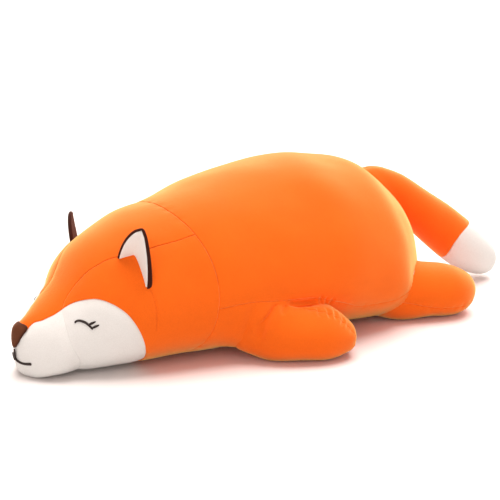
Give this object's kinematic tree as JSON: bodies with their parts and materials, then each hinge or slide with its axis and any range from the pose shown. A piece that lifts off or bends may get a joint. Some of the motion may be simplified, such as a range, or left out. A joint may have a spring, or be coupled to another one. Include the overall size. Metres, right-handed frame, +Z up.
{
  "type": "plush fox",
  "caption": "Lying plush fox with a pointed muzzle, embroidered closed eyes and smile, lined ears, stubby stuffed legs and a white-tipped tail, sewn from panels of short plush.",
  "frame": {"origin": "middle of the floor under the toy's box, on the plane it lies on", "axes": "-X is the way the fox looks, +X towards the tail, +Y the fox's right, +Z up"},
  "size_m": [0.5266, 0.2798, 0.1509],
  "materials": {
    "orange_plush": "short stretch plush, smooth nap with a soft sheen",
    "cream_plush": "short stretch plush, smooth nap with a soft sheen",
    "brown_plush": "short stretch plush, matt",
    "nose_plush": "short plush patch, matt",
    "embroidery_thread": "satin-stitched thread, slightly glossy",
    "polyester_filling": "loose polyester fibre, hidden"
  },
  "bodies": {
    "body": {"muzzle_panel": "cream_plush", "cheek_panel_left": "cream_plush", "cheek_panel_right": "cream_plush", "crown_panel": "orange_plush", "head_side_panel_left": "orange_plush", "head_side_panel_right": "orange_plush", "back_panel": "orange_plush", "belly_panel": "orange_plush", "body_filling": "polyester_filling", "nose": "nose_plush", "mouth_stitch": "embroidery_thread", "eye_stitch_left": "embroidery_thread", "eye_stitch_right": "embroidery_thread"},
    "tail": {"tail_panel_left": "orange_plush", "tail_panel_right": "orange_plush", "tail_tip_panel": "cream_plush", "tail_filling": "polyester_filling"},
    "ear_left": {"ear_back_left": "brown_plush", "ear_lining_left": "cream_plush"},
    "front_leg_left": {"front_leg_outer_panel_left": "orange_plush", "front_leg_inner_panel_left": "orange_plush", "front_leg_filling_left": "polyester_filling"},
    "hind_leg_left": {"hind_leg_upper_panel_left": "orange_plush", "hind_leg_sole_panel_left": "orange_plush", "hind_leg_filling_left": "polyester_filling"},
    "ear_right": {"ear_back_right": "brown_plush", "ear_lining_right": "cream_plush"},
    "front_leg_right": {"front_leg_outer_panel_right": "orange_plush", "front_leg_inner_panel_right": "orange_plush", "front_leg_filling_right": "polyester_filling"},
    "hind_leg_right": {"hind_leg_upper_panel_right": "orange_plush", "hind_leg_sole_panel_right": "orange_plush", "hind_leg_filling_right": "polyester_filling"}
  },
  "joints": [
    {"name": "front_leg_swing_left", "type": "hinge", "parent": "body", "child": "front_leg_left", "pos_m": [-0.103, -0.072, 0], "axis": [0, 0, -1], "range_deg": [0, 35], "stiffness_Nm_per_rad": 0.05},
    {"name": "front_leg_swing_right", "type": "hinge", "parent": "body", "child": "front_leg_right", "pos_m": [-0.103, 0.072, 0], "axis": [0, 0, 1], "range_deg": [0, 35], "stiffness_Nm_per_rad": 0.05},
    {"name": "hind_leg_swing_left", "type": "hinge", "parent": "body", "child": "hind_leg_left", "pos_m": [0.062, -0.1, 0], "axis": [0, 0, -1], "range_deg": [0, 30], "stiffness_Nm_per_rad": 0.05},
    {"name": "hind_leg_swing_right", "type": "hinge", "parent": "body", "child": "hind_leg_right", "pos_m": [0.062, 0.1, 0], "axis": [0, 0, 1], "range_deg": [0, 30], "stiffness_Nm_per_rad": 0.05},
    {"name": "tail_lift", "type": "hinge", "parent": "body", "child": "tail", "pos_m": [0.118, 0, 0.124], "axis": [0, -1, 0], "range_deg": [0, 60]},
    {"name": "ear_fold_left", "type": "hinge", "parent": "body", "child": "ear_left", "pos_m": [-0.179, -0.05, 0.087], "axis": [0.3192, -0.7454, -0.5853], "range_deg": [0, 40], "stiffness_Nm_per_rad": 0.005},
    {"name": "ear_fold_right", "type": "hinge", "parent": "body", "child": "ear_right", "pos_m": [-0.179, 0.05, 0.087], "axis": [-0.3192, -0.7454, 0.5853], "range_deg": [0, 40], "stiffness_Nm_per_rad": 0.005}
  ]
}
